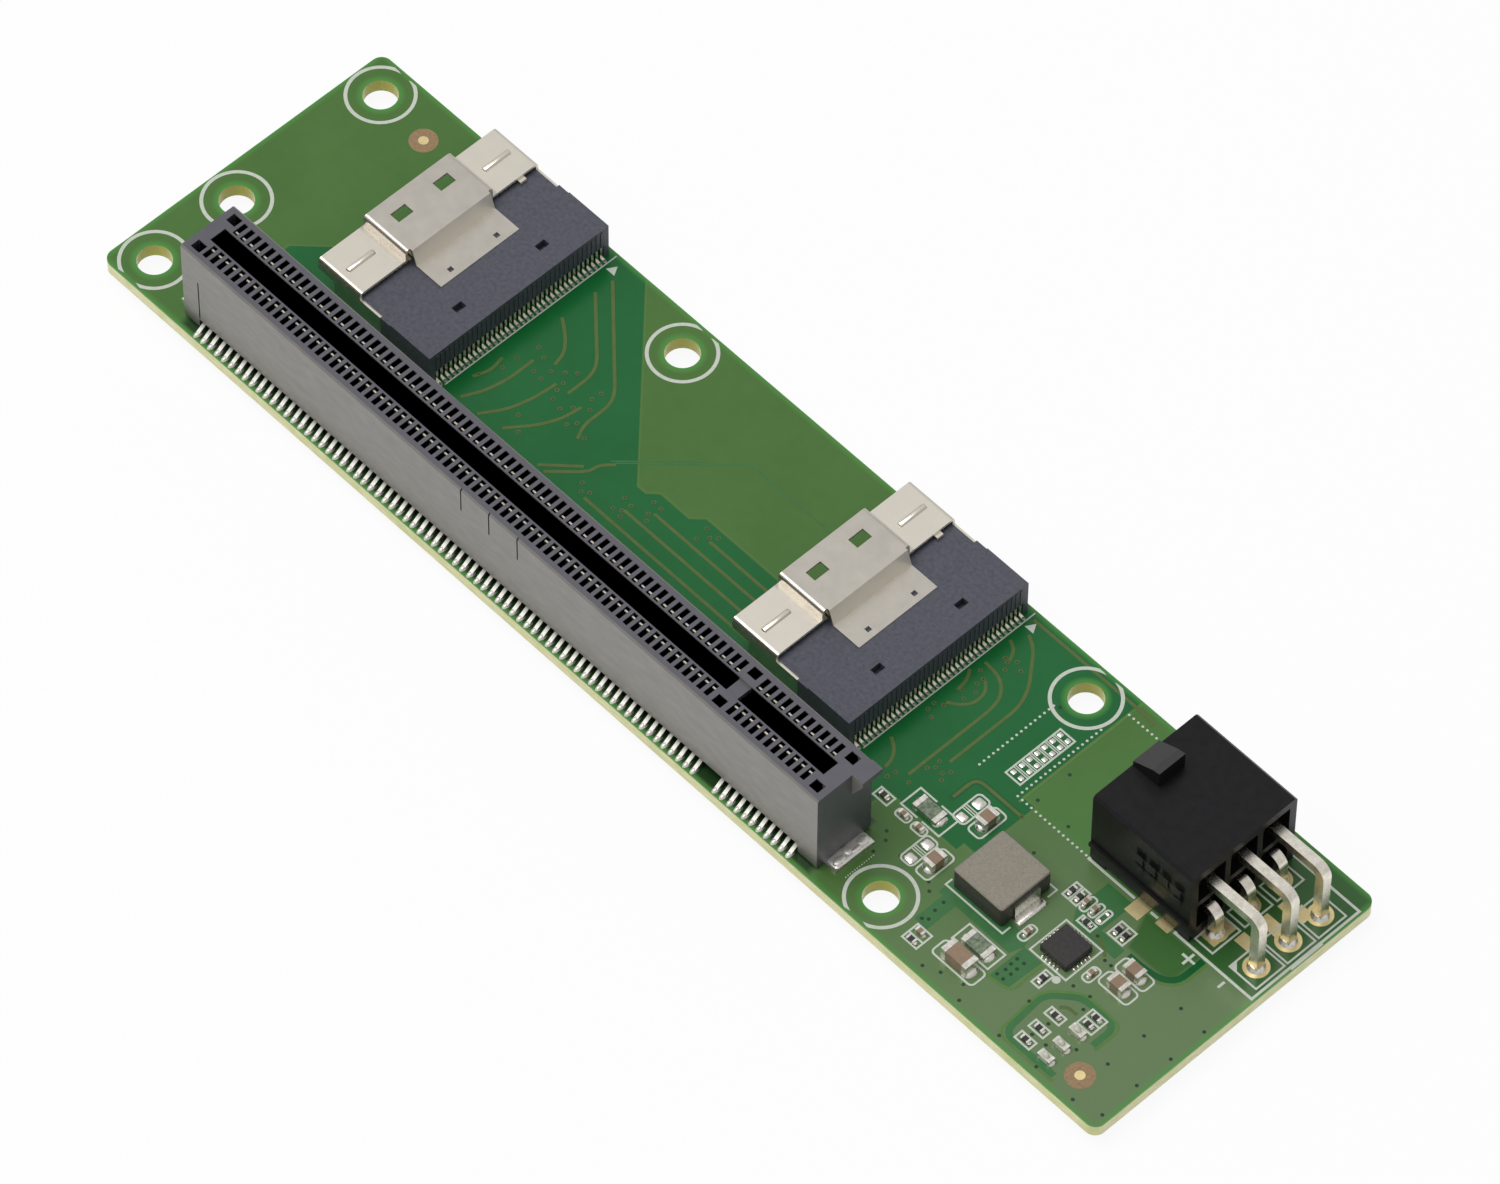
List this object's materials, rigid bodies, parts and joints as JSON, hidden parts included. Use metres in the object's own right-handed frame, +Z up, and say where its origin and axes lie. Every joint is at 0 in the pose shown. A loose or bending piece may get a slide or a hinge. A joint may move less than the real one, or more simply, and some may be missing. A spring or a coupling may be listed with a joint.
{
  "type": "pcie riser card",
  "caption": "Riser board with an upright card-edge slot, low-profile cable ports, a right-angle power header and its small power supply parts.",
  "frame": {"origin": "under the middle of the board, level with the lowest ends of the power pins", "axes": "+X along the slot towards the power header, +Y across the board towards the far long edge, +Z up from the board"},
  "size_m": [0.1376, 0.0368, 0.0151],
  "materials": {
    "board": "glass fibre laminate under green lacquer, cream cut edges",
    "slot_moulding": "dark grey moulding, fine grain",
    "contact_metal": "tinned spring strip",
    "port_moulding": "dark blue-grey moulding, faint mottling",
    "shell_metal": "nickel-plated folded sheet, satin",
    "header_moulding": "black moulding, fine grain",
    "pin_metal": "tinned brass wire, drawn",
    "inductor_powder": "pressed metal powder, taupe",
    "chip_moulding": "black epoxy package",
    "capacitor_ceramic": "fired brown ceramic",
    "resistor_film": "black glazed film on white ceramic",
    "fuse_body": "green lacquered laminate",
    "led_lens": "cloudy resin",
    "end_metal": "tinned chip ends and solder"
  },
  "bodies": {
    "root": {"board": "board", "cable_port_1_contacts": "contact_metal", "cable_port_1_housing": "port_moulding", "cable_port_1_shell": "shell_metal", "cable_port_2_contacts": "contact_metal", "cable_port_2_housing": "port_moulding", "cable_port_2_shell": "shell_metal", "capacitor_bodies": "capacitor_ceramic", "capacitor_ends": "end_metal", "controller_chip": "chip_moulding", "controller_pads": "end_metal", "fuse_bodies": "fuse_body", "fuse_ends": "end_metal", "inductor_core": "inductor_powder", "inductor_terminals": "end_metal", "led_bodies": "led_lens", "led_ends": "end_metal", "power_header_housing": "header_moulding", "power_pins_lower": "pin_metal", "power_pins_upper": "pin_metal", "resistor_bodies": "resistor_film", "resistor_ends": "end_metal", "slot_contacts_far": "contact_metal", "slot_contacts_near": "contact_metal", "slot_hold_downs": "end_metal", "slot_housing": "slot_moulding"}
  },
  "joints": []
}
